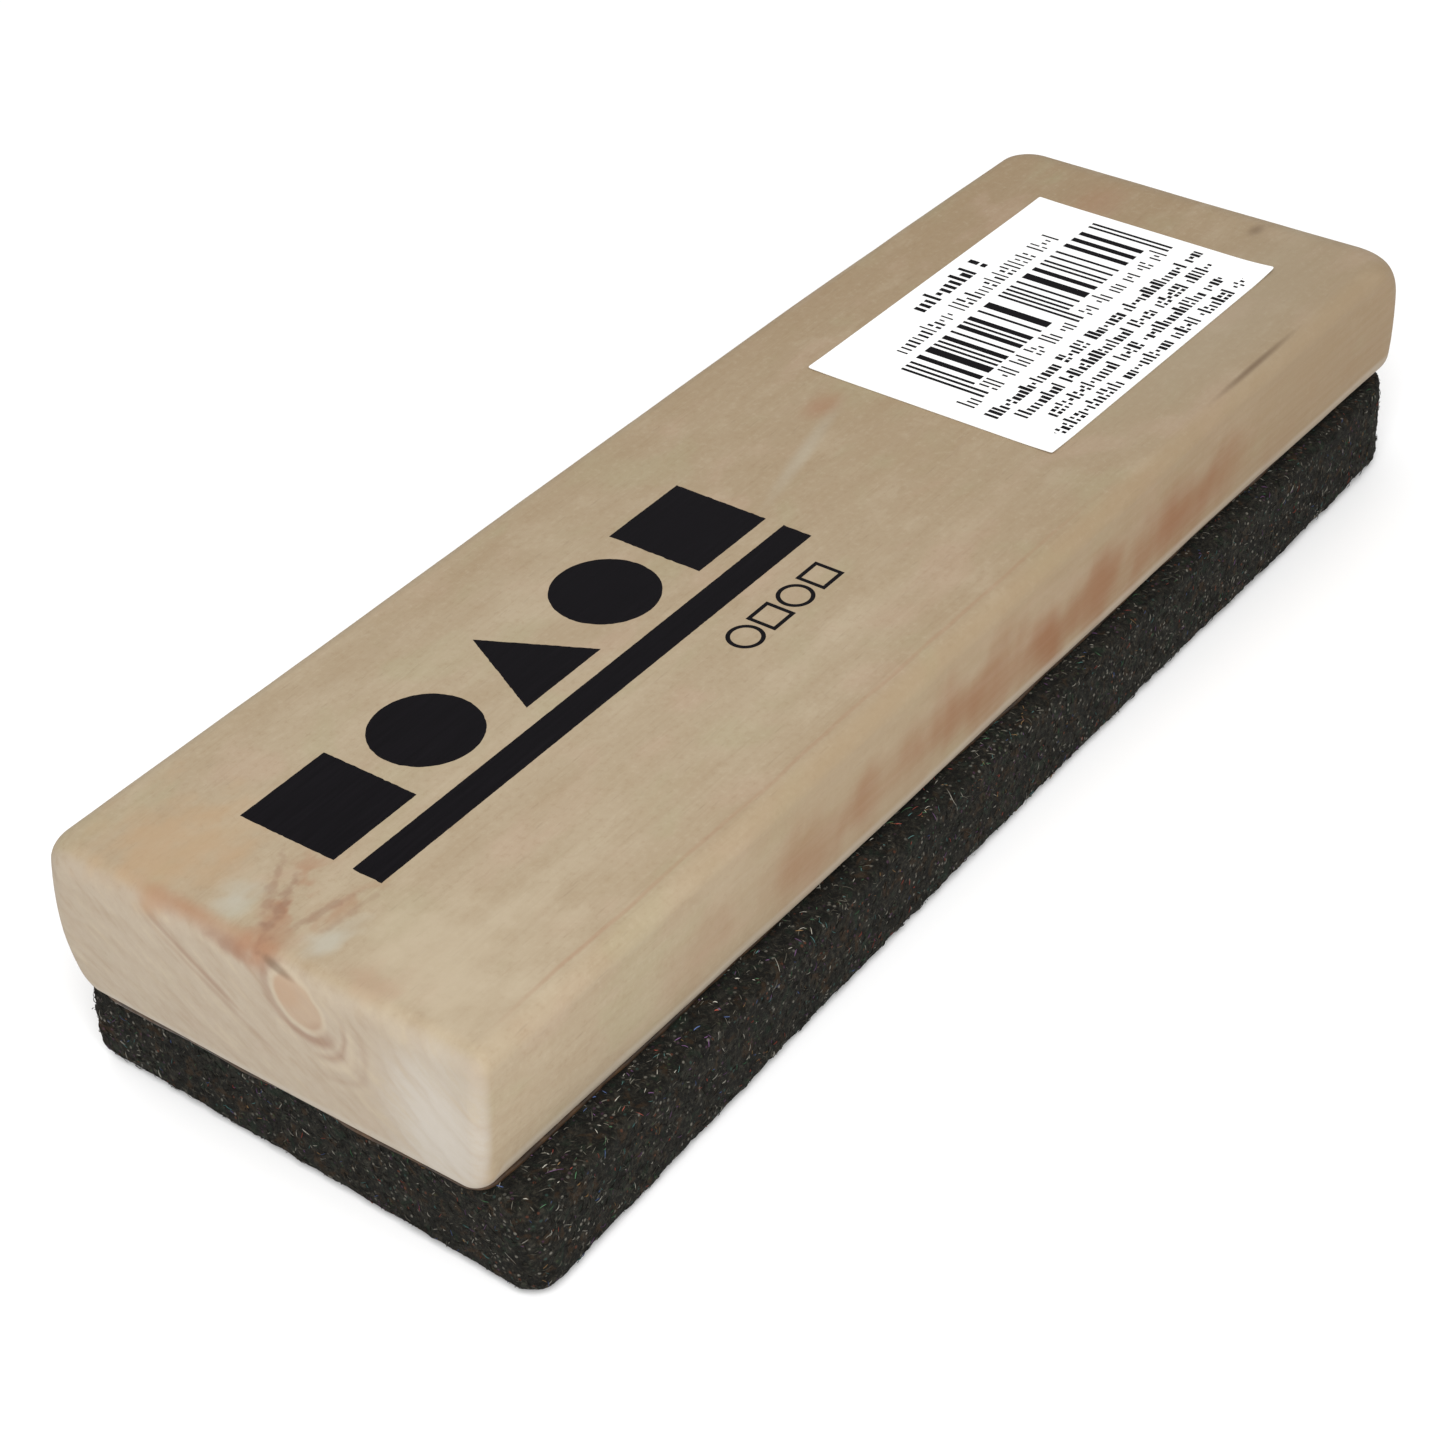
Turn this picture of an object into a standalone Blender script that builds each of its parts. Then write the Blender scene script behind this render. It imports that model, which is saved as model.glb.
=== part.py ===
"""Chalkboard eraser: a bare softwood block on a thick felt pad, with a paper label on top.

Frame: +X along the eraser, +Z up, origin under the middle of the eraser on the face that wipes.
Metres throughout.
"""

import math

import bmesh
import bpy
from mathutils import Vector

# Felt pad, the soft part that wipes the board.
FELT_LENGTH = 0.1430
FELT_WIDTH = 0.0474
FELT_THICKNESS = 0.0086
FELT_RADIUS_NEAR = 0.0027
FELT_RADIUS_FAR = 0.0070
FELT_EDGE = 0.0010
FELT_SHIFT_X = 0.0008
FELT_SKEW_DEG = 1.0
FELT_END_OUT_OF_SQUARE = 0.0012

# Glue film between the felt and the wood.
GAP = 0.0003
GLUE_THICKNESS = 0.0003
GLUE_INSET = 0.0028
GLUE_RADIUS = 0.0020

# Wooden block. Its sides draw in towards the foot, the near end swells a little, and the far end
# leans in towards the top.
BLOCK_LENGTH = 0.1450
BLOCK_WIDTH = 0.0447
BLOCK_HEIGHT = 0.0148
FOOT_TAPER = 0.00125
TOP_RADIUS = 0.0018
BOTTOM_RADIUS = 0.0022
NEAR_SWELL = 0.0009
NEAR_SWELL_HEIGHT = 0.58
FAR_LEAN = 0.0016
END_TOP_NEAR = 0.0018
END_TOP_FAR = 0.0050
END_BOTTOM = 0.0009
CORNER_NEAR = 0.0015
CORNER_FAR = 0.0050
SPARE = 0.0010

# Paper label and the layer of adhesive on its back.
LABEL_LENGTH = 0.0403
LABEL_WIDTH = 0.0270
LABEL_RADIUS = 0.0003
LABEL_CENTRE = (0.0390, -0.0002)
LABEL_TURN = math.radians(-0.6)
PAPER_THICKNESS = 0.00010
ADHESIVE_THICKNESS = 0.00003
LABEL_GAP = 0.00005

# Heights that follow from the sizes above.
GLUE_BASE = FELT_THICKNESS + GAP
BLOCK_BASE = GLUE_BASE + GLUE_THICKNESS + GAP
BLOCK_TOP = BLOCK_BASE + BLOCK_HEIGHT
ADHESIVE_BASE = BLOCK_TOP + LABEL_GAP
PAPER_BASE = ADHESIVE_BASE + ADHESIVE_THICKNESS + LABEL_GAP


def clear_scene():
    for obj in list(bpy.data.objects):
        bpy.data.objects.remove(obj, do_unlink=True)


def make_collection(name):
    collection = bpy.data.collections.new(name)
    bpy.context.scene.collection.children.link(collection)
    return collection


def make_material(name, colour, roughness, metallic=0.0):
    material = bpy.data.materials.new(name)
    material.use_nodes = True
    shader = material.node_tree.nodes["Principled BSDF"]
    shader.inputs["Base Color"].default_value = (*colour, 1.0)
    shader.inputs["Roughness"].default_value = roughness
    shader.inputs["Metallic"].default_value = metallic
    material.diffuse_color = (*colour, 1.0)
    return material


def bare_softwood():
    return make_material("bare_softwood", (0.47, 0.36, 0.23), 0.72)


def dark_felt():
    return make_material("dark_felt", (0.035, 0.031, 0.025), 0.97)


def dried_glue():
    return make_material("dried_glue", (0.16, 0.11, 0.06), 0.45)


def white_paper():
    return make_material("white_paper", (0.88, 0.88, 0.87), 0.60)


def clear_adhesive():
    return make_material("clear_adhesive", (0.75, 0.73, 0.66), 0.35)


def rounded_polygon(corners, radii, steps):
    """Outline with a fillet at each corner. corners run anticlockwise, with one radius for each."""
    outline = []
    count = len(corners)
    for index in range(count):
        corner = Vector(corners[index])
        back = (Vector(corners[index - 1]) - corner).normalized()
        ahead = (Vector(corners[(index + 1) % count]) - corner).normalized()
        half_angle = back.angle(ahead) / 2
        radius = radii[index]
        centre = corner + (back + ahead).normalized() * radius / math.sin(half_angle)
        start = corner + back * radius / math.tan(half_angle) - centre
        sweep = math.pi - 2 * half_angle
        for step in range(steps + 1):
            angle = sweep * step / steps
            turned = Vector(
                (
                    start.x * math.cos(angle) - start.y * math.sin(angle),
                    start.x * math.sin(angle) + start.y * math.cos(angle),
                )
            )
            outline.append(tuple(centre + turned))
    return outline


def rounded_rectangle(length, width, radii, steps):
    """Anticlockwise outline, with one radius for each corner, from the (+, +) corner on."""
    x, y = length / 2, width / 2
    return rounded_polygon([(x, y), (-x, y), (-x, -y), (x, -y)], radii, steps)


def drawn_in(distance, radius):
    """How far a rounded edge has drawn in, this far before the face that it runs into."""
    reach = max(0.0, 1 - distance / radius)
    return radius * (1 - math.sqrt(1 - reach * reach))


def heights_between(bottom_radius, top_radius):
    """Heights up the block's side, closer together where its edges round over."""
    bottom, middle, top = 4, 5, 6
    heights = [bottom_radius * (1 - math.cos(math.pi / 2 * i / bottom)) for i in range(bottom)]
    room = BLOCK_HEIGHT - bottom_radius - top_radius
    heights += [bottom_radius + room * i / middle for i in range(middle)]
    heights += [
        BLOCK_HEIGHT - top_radius * (1 - math.sin(math.pi / 2 * i / top)) for i in range(top + 1)
    ]
    return heights


def block_section():
    """Cross-section of the block: flat top and bottom, rounded edges, sides narrower at the foot."""
    right = []
    for height in heights_between(BOTTOM_RADIUS, TOP_RADIUS):
        share = height / BLOCK_HEIGHT
        half = BLOCK_WIDTH / 2 - FOOT_TAPER * (1 - share) ** 2
        half -= drawn_in(height, BOTTOM_RADIUS) + drawn_in(BLOCK_HEIGHT - height, TOP_RADIUS)
        right.append((half, height))
    return right + [(-y, z) for y, z in reversed(right)]


def block_elevation():
    """The block's ends seen from the side. It runs on past the top and the foot, to cut cleanly."""
    far, near = [], []
    for height in heights_between(END_BOTTOM, END_TOP_FAR):
        share = height / BLOCK_HEIGHT
        reach = BLOCK_LENGTH / 2 - FAR_LEAN * share**1.7
        reach -= drawn_in(height, END_BOTTOM) + drawn_in(BLOCK_HEIGHT - height, END_TOP_FAR)
        far.append((reach, height))
    for height in heights_between(END_BOTTOM, END_TOP_NEAR):
        share = height / BLOCK_HEIGHT
        reach = BLOCK_LENGTH / 2 - NEAR_SWELL * ((share - NEAR_SWELL_HEIGHT) / NEAR_SWELL_HEIGHT) ** 2
        reach -= drawn_in(height, END_BOTTOM) + drawn_in(BLOCK_HEIGHT - height, END_TOP_NEAR)
        near.append((-reach, height))
    far = [(far[0][0], -SPARE)] + far + [(far[-1][0], BLOCK_HEIGHT + SPARE)]
    near = [(near[0][0], -SPARE)] + near + [(near[-1][0], BLOCK_HEIGHT + SPARE)]
    return far + near[::-1]


def extruded(name, outline, depth, collection):
    """Mesh object from a closed flat outline, extruded half of depth each way along its local Z."""
    curve = bpy.data.curves.new(name + "_outline", "CURVE")
    curve.dimensions = "2D"
    curve.fill_mode = "BOTH"
    curve.extrude = depth / 2
    spline = curve.splines.new("POLY")
    spline.points.add(len(outline) - 1)
    for point, (u, v) in zip(spline.points, outline):
        point.co = (u, v, 0.0, 1.0)
    spline.use_cyclic_u = True
    guide = bpy.data.objects.new(name + "_outline", curve)
    collection.objects.link(guide)
    graph = bpy.context.evaluated_depsgraph_get()
    mesh = bpy.data.meshes.new_from_object(guide.evaluated_get(graph))
    bpy.data.objects.remove(guide, do_unlink=True)
    bpy.data.curves.remove(curve)
    work = bmesh.new()
    work.from_mesh(mesh)
    bmesh.ops.remove_doubles(work, verts=work.verts, dist=1e-6)
    bmesh.ops.dissolve_limit(
        work, angle_limit=math.radians(0.5), verts=work.verts, edges=work.edges, delimit=set()
    )
    bmesh.ops.recalc_face_normals(work, faces=work.faces)
    work.to_mesh(mesh)
    work.free()
    mesh.name = name
    obj = bpy.data.objects.new(name, mesh)
    collection.objects.link(obj)
    return obj


def dress(obj, material, sharp_deg=35):
    obj.data.materials.clear()
    obj.data.materials.append(material)
    obj.data.shade_smooth()
    obj.data.set_sharp_from_angle(angle=math.radians(sharp_deg))


def bevel_edges(obj, widest, segments, choose):
    """Bevel the edges that choose(edge) gives a share of the widest width for, by their weights."""
    mesh = obj.data
    weights = mesh.attributes.new("bevel_weight_edge", "FLOAT", "EDGE")
    for edge in mesh.edges:
        ends = [mesh.vertices[index].co for index in edge.vertices]
        weights.data[edge.index].value = choose(ends)
    bevel = obj.modifiers.new("Rounded edges", "BEVEL")
    bevel.limit_method = "WEIGHT"
    bevel.width = widest
    bevel.segments = segments
    bevel.use_clamp_overlap = True


def trim(obj, cutter):
    """Keep only the part of obj that lies inside the cutter."""
    cutter.hide_render = True
    cutter.display_type = "WIRE"
    both = obj.modifiers.new("Trim to " + cutter.name, "BOOLEAN")
    both.operation = "INTERSECT"
    both.solver = "EXACT"
    both.object = cutter


def build_block(collection, cutters, holder):
    # The section's width runs along Y, its height along Z, and the extrusion along X.
    block = extruded("wooden_block", block_section(), BLOCK_LENGTH + 2 * SPARE, collection)
    dress(block, bare_softwood())
    block.rotation_euler = (math.radians(90), 0.0, math.radians(90))
    block.location = (0.0, 0.0, BLOCK_BASE)

    ends = extruded("block_ends", block_elevation(), BLOCK_WIDTH + 2 * SPARE, cutters)
    ends.rotation_euler = (math.radians(90), 0.0, 0.0)
    ends.location = (0.0, 0.0, BLOCK_BASE)
    trim(block, ends)

    radii = (CORNER_FAR, CORNER_NEAR, CORNER_NEAR, CORNER_FAR)
    plan = rounded_rectangle(BLOCK_LENGTH, BLOCK_WIDTH, radii, 6)
    corners = extruded("block_corners", plan, BLOCK_HEIGHT + 4 * SPARE, cutters)
    corners.location = (0.0, 0.0, BLOCK_BASE + BLOCK_HEIGHT / 2)
    trim(block, corners)
    block.parent = holder
    return block


def build_felt(collection, holder):
    x, y, skew = FELT_LENGTH / 2, FELT_WIDTH / 2, FELT_END_OUT_OF_SQUARE
    plan = [(x, y), (-x + skew, y), (-x - skew, -y), (x, -y)]
    radii = (FELT_RADIUS_FAR, FELT_RADIUS_NEAR, FELT_RADIUS_NEAR, FELT_RADIUS_FAR)
    outline = rounded_polygon(plan, radii, 6)
    felt = extruded("felt_pad", outline, FELT_THICKNESS, collection)
    dress(felt, dark_felt())

    # The pad was cut a little out of square and glued on slightly askew, as such pads are.
    felt.location = (FELT_SHIFT_X, 0.0, FELT_THICKNESS / 2)
    felt.rotation_euler = (0.0, 0.0, math.radians(FELT_SKEW_DEG))

    def rim_share(ends):
        return 1.0 if abs(ends[0].z - ends[1].z) < 1e-6 else 0.0

    bevel_edges(felt, FELT_EDGE, 2, rim_share)
    felt.parent = holder
    return felt


def build_glue(collection, holder):
    length = FELT_LENGTH - 2 * GLUE_INSET
    width = BLOCK_WIDTH - 2 * (FOOT_TAPER + BOTTOM_RADIUS)
    outline = rounded_rectangle(length, width, (GLUE_RADIUS,) * 4, 4)
    glue = extruded("glue_film", outline, GLUE_THICKNESS, collection)
    dress(glue, dried_glue())
    glue.location = (FELT_SHIFT_X, 0.0, GLUE_BASE + GLUE_THICKNESS / 2)
    glue.parent = holder
    return glue


def build_label_layer(name, thickness, base, inset, material, collection, holder):
    length = LABEL_LENGTH - 2 * inset
    width = LABEL_WIDTH - 2 * inset
    outline = rounded_rectangle(length, width, (LABEL_RADIUS,) * 4, 3)
    layer = extruded(name, outline, thickness, collection)
    dress(layer, material)
    layer.location = (LABEL_CENTRE[0], LABEL_CENTRE[1], base + thickness / 2)
    layer.rotation_euler = (0.0, 0.0, LABEL_TURN)
    layer.parent = holder
    return layer


def main():
    clear_scene()
    collection = make_collection("chalkboard_eraser")
    cutters = make_collection("cutters")
    holder = bpy.data.objects.new("eraser_origin", None)
    holder.empty_display_size = 0.02
    holder.location = Vector((0.0, 0.0, 0.0))
    collection.objects.link(holder)
    build_felt(collection, holder)
    build_glue(collection, holder)
    build_block(collection, cutters, holder)
    build_label_layer(
        "label_adhesive", ADHESIVE_THICKNESS, ADHESIVE_BASE, 0.0002, clear_adhesive(), collection, holder
    )
    build_label_layer("label_paper", PAPER_THICKNESS, PAPER_BASE, 0.0, white_paper(), collection, holder)


main()
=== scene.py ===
"""Chalkboard eraser: bare softwood block on a thick recycled-felt pad, with a printed paper label.

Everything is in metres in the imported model's frame: +X along the eraser, +Z up, the felt's wiping
face at Z = 0. Sizes are written in millimetres where they are easier to read, and scaled by MM.
The near end, with the knot, is at -X, and the label lies towards the far end. The long side at -Y
is the visible one, and the one at +Y is hidden.
"""

import math
import random

import bpy
import numpy as np
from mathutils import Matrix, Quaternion, Vector, noise


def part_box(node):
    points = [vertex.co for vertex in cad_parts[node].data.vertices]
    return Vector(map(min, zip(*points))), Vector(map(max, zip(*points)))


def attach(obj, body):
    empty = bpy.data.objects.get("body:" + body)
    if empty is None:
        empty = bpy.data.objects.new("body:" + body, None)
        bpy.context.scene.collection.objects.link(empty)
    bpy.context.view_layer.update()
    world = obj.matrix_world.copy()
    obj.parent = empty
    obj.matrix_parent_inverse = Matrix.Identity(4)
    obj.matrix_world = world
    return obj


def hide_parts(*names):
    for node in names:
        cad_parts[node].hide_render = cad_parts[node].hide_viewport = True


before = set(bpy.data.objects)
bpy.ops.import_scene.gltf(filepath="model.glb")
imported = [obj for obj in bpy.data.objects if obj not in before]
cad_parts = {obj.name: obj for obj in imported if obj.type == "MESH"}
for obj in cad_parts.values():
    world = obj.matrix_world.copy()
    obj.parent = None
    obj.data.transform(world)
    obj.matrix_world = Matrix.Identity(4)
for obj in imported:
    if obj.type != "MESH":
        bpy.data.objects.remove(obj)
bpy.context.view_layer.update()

MM = 0.001
SEED = 20

BLOCK_LOW, BLOCK_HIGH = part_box("wooden_block")
FELT_LOW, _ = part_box("felt_pad")
PAPER_LOW, PAPER_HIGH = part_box("label_paper")


# ---------------- mesh building


def quad_grid_faces(index):
    """Quads over a 2-D array of vertex numbers."""
    a, b = index[:-1, :-1], index[1:, :-1]
    c, d = index[1:, 1:], index[:-1, 1:]
    return np.stack([a, b, c, d], axis=-1).reshape(-1, 4)


def rim_of(index):
    """The border of a 2-D array of vertex numbers, in order, anticlockwise seen from above."""
    return np.concatenate([index[:-1, 0], index[-1, :-1], index[:0:-1, -1], index[0, :0:-1]])


def graded(zone, steps_zone, steps_mid, length):
    """Shares of a length, crowded together inside a zone at each end.

    zone and steps_zone hold one value for each end.
    """
    low = zone[0] * (1 - np.cos(np.linspace(0, math.pi / 2, steps_zone[0] + 1)))
    high = length - zone[1] * (1 - np.cos(np.linspace(math.pi / 2, 0, steps_zone[1] + 1)))
    mid = np.linspace(low[-1], high[0], steps_mid + 1)
    return np.concatenate([low[:-1], mid, high[1:]]) / length


def plan_points(share_x, share_y, level):
    """Points of a grid inside a rectangle with four rounded corners.

    level holds x0, x1, y0, y1 and radii for the corners (x0, y0), (x1, y0), (x1, y1), (x0, y1).
    """
    x = level["x0"] + (level["x1"] - level["x0"]) * share_x
    y = level["y0"] + (level["y1"] - level["y0"]) * share_y
    corners = (("x0", "y0", -1, -1), ("x1", "y0", 1, -1), ("x1", "y1", 1, 1), ("x0", "y1", -1, 1))
    for radius, (x_key, y_key, sx, sy) in zip(level["radii"], corners):
        centre_x = level[x_key] - sx * radius
        centre_y = level[y_key] - sy * radius
        u = (x - centre_x) * sx / radius
        v = (y - centre_y) * sy / radius
        inside = (u > 0) & (v > 0)
        longest = np.maximum(u, v)
        reach = np.sqrt(u * u + v * v)
        pull = np.where(inside, longest / np.maximum(reach, 1e-9), 1.0)
        x = np.where(inside, centre_x + sx * u * radius * pull, x)
        y = np.where(inside, centre_y + sy * v * radius * pull, y)
    return x, y


def centred_level(z, length, width, draw, radii):
    """A plan outline about the origin, drawn in by the same distance all round."""
    return {
        "z": z,
        "x0": -length / 2 + draw,
        "x1": length / 2 - draw,
        "y0": -width / 2 + draw,
        "y1": width / 2 - draw,
        "radii": radii,
    }


def stacked_solid(levels, share_x, share_y):
    """Closed solid from plan outlines stacked in Z: vertices (n, 3) and quads (m, 4)."""
    grid_x, grid_y = np.meshgrid(share_x, share_y, indexing="ij")
    shape = grid_x.shape
    flat = np.arange(grid_x.size).reshape(shape)
    rim = rim_of(flat)
    points, rings, faces = [], [], []
    count = 0
    for number, level in enumerate(levels):
        x, y = plan_points(grid_x, grid_y, level)
        layer = np.stack([x, y, np.full(shape, level["z"])], axis=-1).reshape(-1, 3)
        if number in (0, len(levels) - 1):
            points.append(layer)
            rings.append(count + rim)
            cap = quad_grid_faces(flat + count)
            faces.append(cap[:, ::-1] if number == 0 else cap)
            count += len(layer)
        else:
            points.append(layer[rim])
            rings.append(count + np.arange(len(rim)))
            count += len(rim)
    for low, high in zip(rings[:-1], rings[1:]):
        faces.append(np.stack([low, np.roll(low, -1), np.roll(high, -1), high], axis=-1))
    return np.concatenate(points), np.concatenate(faces)


def mesh_object(name, points, faces, smooth=True):
    mesh = bpy.data.meshes.new(name)
    mesh.from_pydata([tuple(p) for p in points], [], [tuple(int(i) for i in f) for f in faces])
    mesh.validate()
    if smooth:
        mesh.shade_smooth()
    obj = bpy.data.objects.new(name, mesh)
    bpy.context.scene.collection.objects.link(obj)
    return obj


def read_array(items, key, width):
    """One property of every vertex or face, as an array with this many columns."""
    values = np.empty(len(items) * width, np.float32)
    items.foreach_get(key, values)
    return values.reshape(-1, width).astype(float)


def solid_object(name, levels, share_x, share_y):
    """A stacked solid as an object, with the places and the normals of its vertices."""
    obj = mesh_object(name, *stacked_solid(levels, share_x, share_y))
    vertices = obj.data.vertices
    return obj, read_array(vertices, "co", 3), read_array(vertices, "normal", 3)


def set_coordinates(obj, points):
    obj.data.vertices.foreach_set("co", points.astype(np.float32).ravel())
    obj.data.update()


def fractal(points, size, octaves=3, offset=0.0):
    """Smooth noise of about -1 to 1 at each point, with features of the given size."""
    shift = Vector((offset, offset * 0.7, -offset))
    return np.array(
        [noise.fractal(Vector(p) / size + shift, 1.0, 2.0, octaves) for p in points]
    )


def smooth_step(value, low, high):
    share = np.clip((value - low) / (high - low), 0.0, 1.0)
    return share * share * (3 - 2 * share)


def rounding(distance, radius):
    """How far a rounded edge has drawn in, this far before the face that it runs into."""
    reach = np.clip(1 - distance / radius, 0.0, 1.0)
    return radius * (1 - math.sqrt(1 - reach * reach))


def rotated(x, y, angle):
    return x * math.cos(angle) - y * math.sin(angle), x * math.sin(angle) + y * math.cos(angle)


# ---------------- wooden block

FOOT_TAPER = 1.25 * MM
TOP_ROUND = 1.8 * MM
BOTTOM_ROUND = 2.2 * MM
NEAR_SWELL = 0.9 * MM
NEAR_SWELL_HEIGHT = 0.58
FAR_LEAN = 1.6 * MM
END_TOP_NEAR = 1.8 * MM
END_TOP_FAR = 5.0 * MM
END_BOTTOM = 0.9 * MM
TIGHTEST_CORNER = 0.4 * MM

# Radii in plan of the corners near and visible, far and visible, far and hidden, near and hidden:
# in millimetres at the block's foot, and by how much more at its top.
BLOCK_CORNERS = ((1.4, 0), (3.6, 1.2), (3.9, -0.8), (1.5, 1.3))

# Sanding left the long sides a little out of true. These push the hidden side outwards.
HIDDEN_OUT = 0.06 * MM
HIDDEN_BOW = 0.42 * MM
HIDDEN_BOW_AT = -18 * MM
HIDDEN_BOW_REACH = 60 * MM
HIDDEN_NEAR = 0.48 * MM
HIDDEN_FAR = -1.04 * MM
# These push the visible side inwards, and its far corner along.
VISIBLE_NEAR = 0.18 * MM
VISIBLE_FAR = -0.55 * MM
VISIBLE_CORNER = 0.42 * MM
VISIBLE_CORNER_LESS_ABOVE = 0.18 * MM
HIDDEN_CORNER = 0.06 * MM

STRAIGHT_HALF = 30 * MM
END_ZONE = 42.5 * MM
JOINT_RISE = 0.40 * MM
JOINT_RISE_DEPTH = 4 * MM
SANDING_WAVE, SANDING_WAVE_SIZE = 0.10 * MM, 22 * MM
SANDING_RIPPLE, SANDING_RIPPLE_SIZE = 0.03 * MM, 6 * MM


def towards_end(points, sign):
    """0 along the straight middle of the block, growing to 1 at the near (-1) or far (1) end."""
    return np.clip((sign * points[:, 0] - STRAIGHT_HALF) / END_ZONE, 0, 1) ** 2


def joint_rise(points):
    """How far the joint's upper side rises at the near corner on the hidden side."""
    near = np.clip((-points[:, 0] / MM - 60) / 12, 0, 1)
    across = np.clip((points[:, 1] / MM + 10) / 32, 0, 1)
    return JOINT_RISE * near * across


def block_levels():
    z0, z1 = BLOCK_LOW.z, BLOCK_HIGH.z
    quarter = np.linspace(0, math.pi / 2, 13)
    heights = list(z0 + BOTTOM_ROUND * (1 - np.cos(quarter)))
    heights += list(np.linspace(z0 + BOTTOM_ROUND, z1 - END_TOP_FAR, 12)[1:-1])
    heights += list(z1 - END_TOP_FAR * (1 - np.sin(np.linspace(0, math.pi / 2, 26))))
    levels = []
    for z in heights:
        share = (z - z0) / (z1 - z0)
        top_turn = rounding(z1 - z, TOP_ROUND)
        side = rounding(z - z0, BOTTOM_ROUND) + top_turn + FOOT_TAPER * (1 - share) ** 2
        end_foot = rounding(z - z0, END_BOTTOM)
        near = end_foot + rounding(z1 - z, END_TOP_NEAR)
        near += NEAR_SWELL * ((share - NEAR_SWELL_HEIGHT) / NEAR_SWELL_HEIGHT) ** 2
        far = end_foot + rounding(z1 - z, END_TOP_FAR) + FAR_LEAN * share**1.7
        radii = [(foot + more * share) * MM for foot, more in BLOCK_CORNERS]
        levels.append(
            {
                "z": z,
                "x0": BLOCK_LOW.x + near,
                "x1": BLOCK_HIGH.x - far,
                "y0": BLOCK_LOW.y + side,
                "y1": BLOCK_HIGH.y - side,
                "radii": [max(radius - 0.6 * top_turn, TIGHTEST_CORNER) for radius in radii],
            }
        )
    return levels


def make_block():
    length = BLOCK_HIGH.x - BLOCK_LOW.x
    width = BLOCK_HIGH.y - BLOCK_LOW.y
    share_x = graded((4 * MM, 7 * MM), (14, 20), 120, length)
    share_y = graded((5 * MM, 5 * MM), (16, 16), 40, width)
    block, points, normals = solid_object("block_body", block_levels(), share_x, share_y)
    near, far = towards_end(points, -1), towards_end(points, 1)
    hidden = np.clip(points[:, 1] / BLOCK_HIGH.y, 0, 1)
    visible = np.clip(-points[:, 1] / BLOCK_HIGH.y, 0, 1)
    height = np.clip((points[:, 2] / MM - 10.5) / 5.0, 0, 1)
    bow = np.clip(1 - ((points[:, 0] - HIDDEN_BOW_AT) / HIDDEN_BOW_REACH) ** 2, 0, 1)
    outwards = HIDDEN_NEAR * near * height + HIDDEN_FAR * far + HIDDEN_OUT + HIDDEN_BOW * bow
    points[:, 1] += hidden * outwards
    points[:, 1] += visible * (VISIBLE_NEAR * near + VISIBLE_FAR * far)
    points[:, 0] += visible * far * (VISIBLE_CORNER - VISIBLE_CORNER_LESS_ABOVE * height)
    points[:, 0] += hidden * near * HIDDEN_CORNER

    # The lower edge rises a little towards the near corner on the hidden side.
    low = np.clip(1 - (points[:, 2] - BLOCK_LOW.z) / JOINT_RISE_DEPTH, 0, 1)
    points[:, 2] += joint_rise(points) * low

    # Slow unevenness from sanding, which leaves the flat top and bottom true.
    slope = 1 - np.abs(normals[:, 2]) ** 3
    wave = fractal(points, SANDING_WAVE_SIZE, 2) * SANDING_WAVE
    wave += fractal(points, SANDING_RIPPLE_SIZE, 2, 5) * SANDING_RIPPLE
    points += normals * (wave * slope)[:, None]
    set_coordinates(block, points)
    return block


# ---------------- felt pad

FELT_TOP = 9.3 * MM
FELT_TOP_ROUND = 0.7 * MM
FELT_BOTTOM_ROUND = 1.5 * MM
FELT_LENGTH = 143.15 * MM
FELT_WIDTH = 47.4 * MM
FELT_CORNERS = (2.7 * MM, 6.9 * MM, 7.2 * MM, 0.7 * MM)
FELT_SHIFT_X = 1.18 * MM
FELT_SKEW = math.radians(1.0)
FELT_END_SKEW = math.radians(2.9)
FELT_LEAN = 0.15 * MM
FELT_WAIST = 0.75 * MM
FELT_WAIST_AT = -14 * MM
FELT_WAIST_REACH = 60 * MM
FELT_BULGE = 0.85 * MM
FELT_BULGE_MORE_ABOVE = 0.12 * MM
FELT_BULGE_REACH = 12 * MM
FELT_CLEARANCE = 0.05 * MM
NAP_WAVE, NAP_WAVE_SIZE = 0.10 * MM, 6 * MM
NAP_GRAIN, NAP_GRAIN_SIZE = 0.12 * MM, 1.1 * MM
NAP_SINK = 0.04 * MM


def felt_to_frame(points):
    """Points of the pad, turned and shifted to where it was glued, slightly askew."""
    turned = points.copy()
    turned[:, 0], turned[:, 1] = rotated(points[:, 0], points[:, 1], FELT_SKEW)
    turned[:, 0] += FELT_SHIFT_X
    return turned


def felt_levels():
    z0, z1 = FELT_LOW.z, FELT_TOP
    quarter = np.linspace(0, math.pi / 2, 8)
    heights = list(z0 + FELT_BOTTOM_ROUND * (1 - np.cos(quarter)))
    heights += list(np.linspace(z0 + FELT_BOTTOM_ROUND, z1 - FELT_TOP_ROUND, 24)[1:-1])
    heights += list(z1 - FELT_TOP_ROUND * (1 - np.sin(quarter)))
    levels = []
    for z in heights:
        draw = rounding(z - z0, FELT_BOTTOM_ROUND) + rounding(z1 - z, FELT_TOP_ROUND)
        draw += FELT_LEAN * (z - z0) / (z1 - z0)
        radii = [radius - 0.4 * draw for radius in FELT_CORNERS]
        levels.append(centred_level(z, FELT_LENGTH, FELT_WIDTH, draw, radii))
    return levels


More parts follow.
